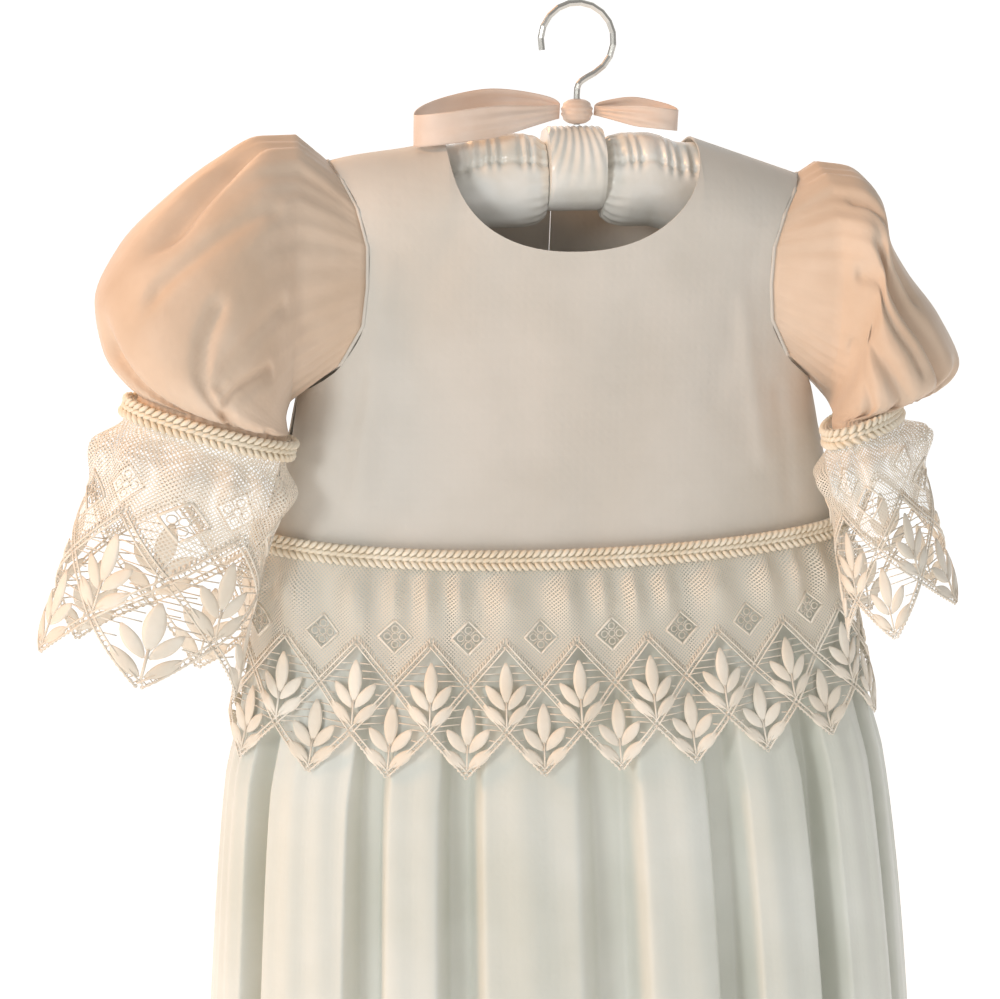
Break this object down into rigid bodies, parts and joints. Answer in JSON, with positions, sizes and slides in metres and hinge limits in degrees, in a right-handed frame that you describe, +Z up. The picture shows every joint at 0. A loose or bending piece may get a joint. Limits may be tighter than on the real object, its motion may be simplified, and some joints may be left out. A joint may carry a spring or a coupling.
{
  "type": "christening gown on a padded hanger",
  "caption": "Ivory satin christening gown with puffed sheer sleeves, guipure lace cuffs and peplum, hanging on a padded satin hanger with a ribbon bow.",
  "frame": {"origin": "the hanging point, at the top of the inside of the hook", "axes": "+Z up, -Y towards the front of the gown, +X towards the right of its front view"},
  "size_m": [0.4675, 0.2227, 0.8788],
  "materials": {
    "satin_bodice": "satin",
    "satin_skirt": "satin",
    "chiffon_sleeve": "matte",
    "guipure_lace": "matte",
    "gimp_braid": "matte",
    "hanger_satin": "satin",
    "organza_ribbon": "satin",
    "pearl_button": "gloss",
    "hook_steel": "polished"
  },
  "bodies": {
    "root": {"bodice_front": "satin_bodice", "bodice_back_left": "satin_bodice", "bodice_back_right": "satin_bodice", "skirt_front": "satin_skirt", "skirt_back": "satin_skirt", "peplum_lace_front": "guipure_lace", "peplum_lace_back": "guipure_lace", "waist_braid_front": "gimp_braid", "waist_braid_back": "gimp_braid", "sleeve_left": "chiffon_sleeve", "sleeve_right": "chiffon_sleeve", "cuff_left_lace_front": "guipure_lace", "cuff_left_lace_back": "guipure_lace", "cuff_left_braid": "gimp_braid", "cuff_right_lace_front": "guipure_lace", "cuff_right_lace_back": "guipure_lace", "cuff_right_braid": "gimp_braid", "back_button_1": "pearl_button", "back_button_2": "pearl_button", "back_button_3": "pearl_button", "back_button_4": "pearl_button", "hanger_arm_left": "hanger_satin", "hanger_arm_right": "hanger_satin", "hanger_bar": "hanger_satin", "hook": "hook_steel", "bow_knot": "organza_ribbon", "bow_loop_left": "organza_ribbon", "bow_loop_right": "organza_ribbon"}
  },
  "joints": []
}
